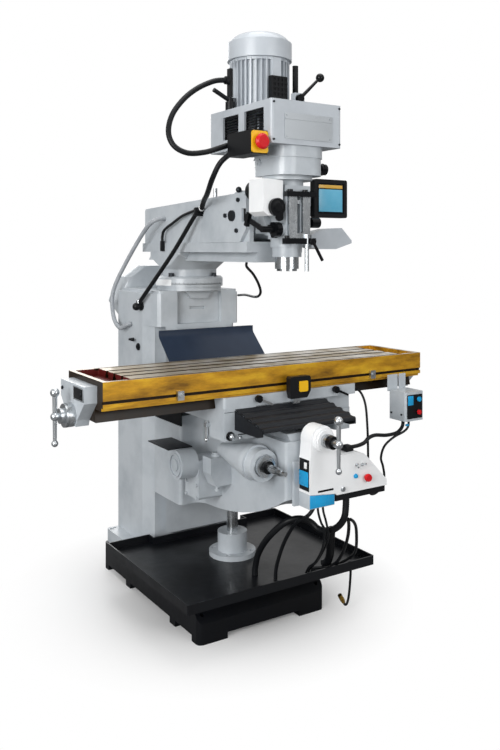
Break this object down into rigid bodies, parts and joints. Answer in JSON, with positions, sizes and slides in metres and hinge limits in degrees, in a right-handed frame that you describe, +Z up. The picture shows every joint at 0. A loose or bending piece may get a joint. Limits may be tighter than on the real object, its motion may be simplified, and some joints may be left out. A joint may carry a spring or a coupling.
{
  "type": "turret milling machine",
  "caption": "Vertical turret milling machine: column, knee, saddle and T-slot table, with a ram that carries a tilting head, quill and belt-driven spindle.",
  "frame": {"origin": "The middle of the four anchor bolts, on the floor under the base.", "axes": "+X runs to the right along the table, +Y runs from the operator back to the column, +Z is up."},
  "size_m": [1.5513, 1.4732, 2.203],
  "materials": {
    "black_paint": "semi-gloss",
    "grey_paint": "semi-gloss",
    "knee_paint": "semi-gloss",
    "light_paint": "semi-gloss",
    "white_case": "gloss",
    "coated_iron": "oiled",
    "bright_steel": "polished",
    "chrome": "polished",
    "black_rubber": "matt",
    "black_plastic": "matt",
    "red_plastic": "gloss",
    "blue_plastic": "gloss",
    "plate_metal": "satin",
    "pulley_metal": "satin"
  },
  "bodies": {
    "frame": {"base_casting": "black_paint", "chip_tray": "black_paint", "column_casting": "grey_paint", "column_fittings": "grey_paint", "screw_pedestal": "grey_paint", "drain_hose": "black_rubber"},
    "knee": {"knee_casting": "knee_paint", "knee_motor": "grey_paint", "oil_pump": "knee_paint", "feed_unit": "white_case", "front_way_cover": "black_rubber", "rear_way_cover": "black_rubber", "way_cover": "black_rubber", "knee_hoses": "black_rubber"},
    "feed_stop": {"feed_stop_button": "red_plastic"},
    "knee_crank": {"knee_crank_shaft": "bright_steel"},
    "lift_screw": {"elevating_screw": "bright_steel"},
    "cross_handle": {"cross_crank": "chrome"},
    "saddle": {"saddle_casting": "light_paint", "limit_switch": "black_plastic"},
    "lock_left": {"table_lock_left": "black_plastic"},
    "lock_right": {"table_lock_right": "black_plastic"},
    "saddle_lock": {"saddle_lock_lever": "bright_steel"},
    "table": {"table_casting": "coated_iron", "end_brackets": "light_paint", "control_box": "grey_paint"},
    "table_handle": {"table_crank": "chrome"},
    "start": {"start_button": "blue_plastic"},
    "halt": {"halt_button": "red_plastic"},
    "turret": {"turret_casting": "grey_paint", "turret_fittings": "plate_metal"},
    "ram": {"ram_casting": "grey_paint", "ram_fittings": "bright_steel", "ram_hoses": "black_rubber"},
    "nod_knuckle": {"knuckle": "knee_paint"},
    "head": {"head_casting": "grey_paint", "gear_housing": "grey_paint", "belt_housing": "grey_paint", "housing_grilles": "black_plastic", "housing_plates": "plate_metal", "drive_belt": "black_rubber", "motor_body": "grey_paint", "fan_cover": "grey_paint", "switch_boxes": "black_plastic", "feed_gearbox": "white_case", "depth_stop": "bright_steel", "depth_clamps": "black_plastic", "work_lamp": "light_paint", "head_hoses": "black_rubber"},
    "pulley": {"spindle_pulley": "pulley_metal"},
    "motor_rotor": {"motor_pulley": "pulley_metal"},
    "stop": {"stop_button": "red_plastic"},
    "speed_handle": {"speed_lever": "black_plastic"},
    "range_selector": {"range_knob": "black_plastic"},
    "feed_selector": {"feed_hub": "black_plastic"},
    "quill_handle": {"feed_lever": "black_plastic"},
    "quill_clamp": {"quill_lock": "black_plastic"},
    "readout": {"display": "black_plastic"},
    "quill_body": {"quill": "bright_steel"},
    "spindle_body": {"spindle": "bright_steel"}
  },
  "joints": [
    {"name": "knee_elevate", "type": "slide", "parent": "frame", "child": "knee", "axis": [0, 0, 1], "range_m": [-0.15, 0.21], "deforming": ["way_cover", "knee_hoses"]},
    {"name": "saddle_cross", "type": "slide", "parent": "knee", "child": "saddle", "axis": [0, 1, 0], "range_m": [-0.1, 0.16], "deforming": ["front_way_cover", "rear_way_cover", "way_cover", "knee_hoses"]},
    {"name": "table_traverse", "type": "slide", "parent": "saddle", "child": "table", "axis": [1, 0, 0], "range_m": [-0.2, 0.39], "deforming": ["knee_hoses"]},
    {"name": "table_crank_turn", "type": "hinge", "parent": "table", "child": "table_handle", "pos_m": [0, -0.388, 0.862], "axis": [1, 0, 0], "continuous": true},
    {"name": "cross_crank_turn", "type": "hinge", "parent": "knee", "child": "cross_handle", "pos_m": [0, -0.78, 0.765], "axis": [0, 1, 0], "continuous": true},
    {"name": "knee_crank_turn", "type": "hinge", "parent": "knee", "child": "knee_crank", "pos_m": [-0.155, -0.74, 0.672], "axis": [0, 1, 0], "continuous": true},
    {"name": "lift_screw_turn", "type": "hinge", "parent": "knee", "child": "lift_screw", "pos_m": [0, -0.2, 0.5], "axis": [0, 0, 1], "continuous": true},
    {"name": "turret_swivel", "type": "hinge", "parent": "frame", "child": "turret", "pos_m": [0, 0.155, 1.24], "axis": [0, 0, 1], "range_deg": [-90, 90], "deforming": ["ram_hoses"]},
    {"name": "ram_slide", "type": "slide", "parent": "turret", "child": "ram", "axis": [0, 1, 0], "range_m": [-0.04, 0.28], "deforming": ["ram_hoses"]},
    {"name": "head_nod", "type": "hinge", "parent": "ram", "child": "nod_knuckle", "pos_m": [0, -0.405, 1.5252], "axis": [1, 0, 0], "range_deg": [-40, 7], "deforming": ["head_hoses"]},
    {"name": "head_tilt", "type": "hinge", "parent": "nod_knuckle", "child": "head", "pos_m": [0, -0.471, 1.5252], "axis": [0, 1, 0], "range_deg": [-90, 90], "deforming": ["head_hoses"]},
    {"name": "quill_feed", "type": "slide", "parent": "head", "child": "quill_body", "axis": [0, 0, 1], "range_m": [-0.127, 0]},
    {"name": "pulley_spin", "type": "hinge", "parent": "head", "child": "pulley", "pos_m": [0, -0.572, 1.78], "axis": [0, 0, 1], "continuous": true},
    {"name": "spindle_spin", "type": "hinge", "parent": "quill_body", "child": "spindle_body", "pos_m": [0, -0.572, 1.4], "axis": [0, 0, 1], "continuous": true},
    {"name": "motor_spin", "type": "hinge", "parent": "head", "child": "motor_rotor", "pos_m": [0, -0.395, 1.9], "axis": [0, 0, 1], "continuous": true},
    {"name": "quill_lever", "type": "hinge", "parent": "head", "child": "quill_handle", "pos_m": [-0.08, -0.618, 1.4712], "axis": [1, 0, 0], "range_deg": [-172, 0]},
    {"name": "speed_lever_turn", "type": "hinge", "parent": "head", "child": "speed_handle", "pos_m": [0.062, -0.56, 1.9476], "axis": [0, 1, 0], "range_deg": [-25, 25]},
    {"name": "range_knob_turn", "type": "hinge", "parent": "head", "child": "range_selector", "pos_m": [0.12, -0.6, 1.6914], "axis": [1, 0, 0], "range_deg": [-60, 60]},
    {"name": "feed_hub_turn", "type": "hinge", "parent": "head", "child": "feed_selector", "pos_m": [-0.0947, -0.64, 1.5472], "axis": [0, 1, 0], "range_deg": [-30, 30]},
    {"name": "quill_lock_turn", "type": "hinge", "parent": "head", "child": "quill_clamp", "pos_m": [0.044, -0.665, 1.4292], "axis": [0, 1, 0], "range_deg": [-30, 30]},
    {"name": "display_swing", "type": "hinge", "parent": "head", "child": "readout", "pos_m": [0.0925, -0.568, 1.58], "axis": [0, 0, 1], "range_deg": [-40, 25]},
    {"name": "table_lock_left_turn", "type": "hinge", "parent": "saddle", "child": "lock_left", "pos_m": [-0.107, -0.54, 0.877], "axis": [0, 1, 0], "range_deg": [-50, 0]},
    {"name": "table_lock_right_turn", "type": "hinge", "parent": "saddle", "child": "lock_right", "pos_m": [0.239, -0.54, 0.877], "axis": [0, 1, 0], "range_deg": [-50, 0]},
    {"name": "saddle_lock_turn", "type": "hinge", "parent": "saddle", "child": "saddle_lock", "pos_m": [-0.242, -0.44, 0.782], "axis": [1, 0, 0], "range_deg": [-40, 40]},
    {"name": "stop_press", "type": "slide", "parent": "head", "child": "stop", "axis": [0, 1, 0], "range_m": [0, 0.004], "stiffness_N_per_m": 1200, "springref_m": -0.001},
    {"name": "feed_stop_press", "type": "slide", "parent": "knee", "child": "feed_stop", "axis": [0, 1, 0], "range_m": [0, 0.002], "stiffness_N_per_m": 1200, "springref_m": -0.001},
    {"name": "start_press", "type": "slide", "parent": "table", "child": "start", "axis": [0, 1, 0], "range_m": [0, 0.003], "stiffness_N_per_m": 1200, "springref_m": -0.001},
    {"name": "halt_press", "type": "slide", "parent": "table", "child": "halt", "axis": [0, 1, 0], "range_m": [0, 0.003], "stiffness_N_per_m": 1200, "springref_m": -0.001}
  ],
  "couplings": [
    {"joint": "table_crank_turn", "follows": "table_traverse", "rad_per_m": 1256.6},
    {"joint": "cross_crank_turn", "follows": "saddle_cross", "rad_per_m": 1256.6},
    {"joint": "knee_crank_turn", "follows": "knee_elevate", "rad_per_m": 2513.3},
    {"joint": "lift_screw_turn", "follows": "knee_elevate", "rad_per_m": 1047.2},
    {"joint": "spindle_spin", "follows": "pulley_spin", "ratio": 1},
    {"joint": "motor_spin", "follows": "pulley_spin", "ratio": 1.5652},
    {"joint": "quill_lever", "follows": "quill_feed", "rad_per_m": 23.36}
  ]
}
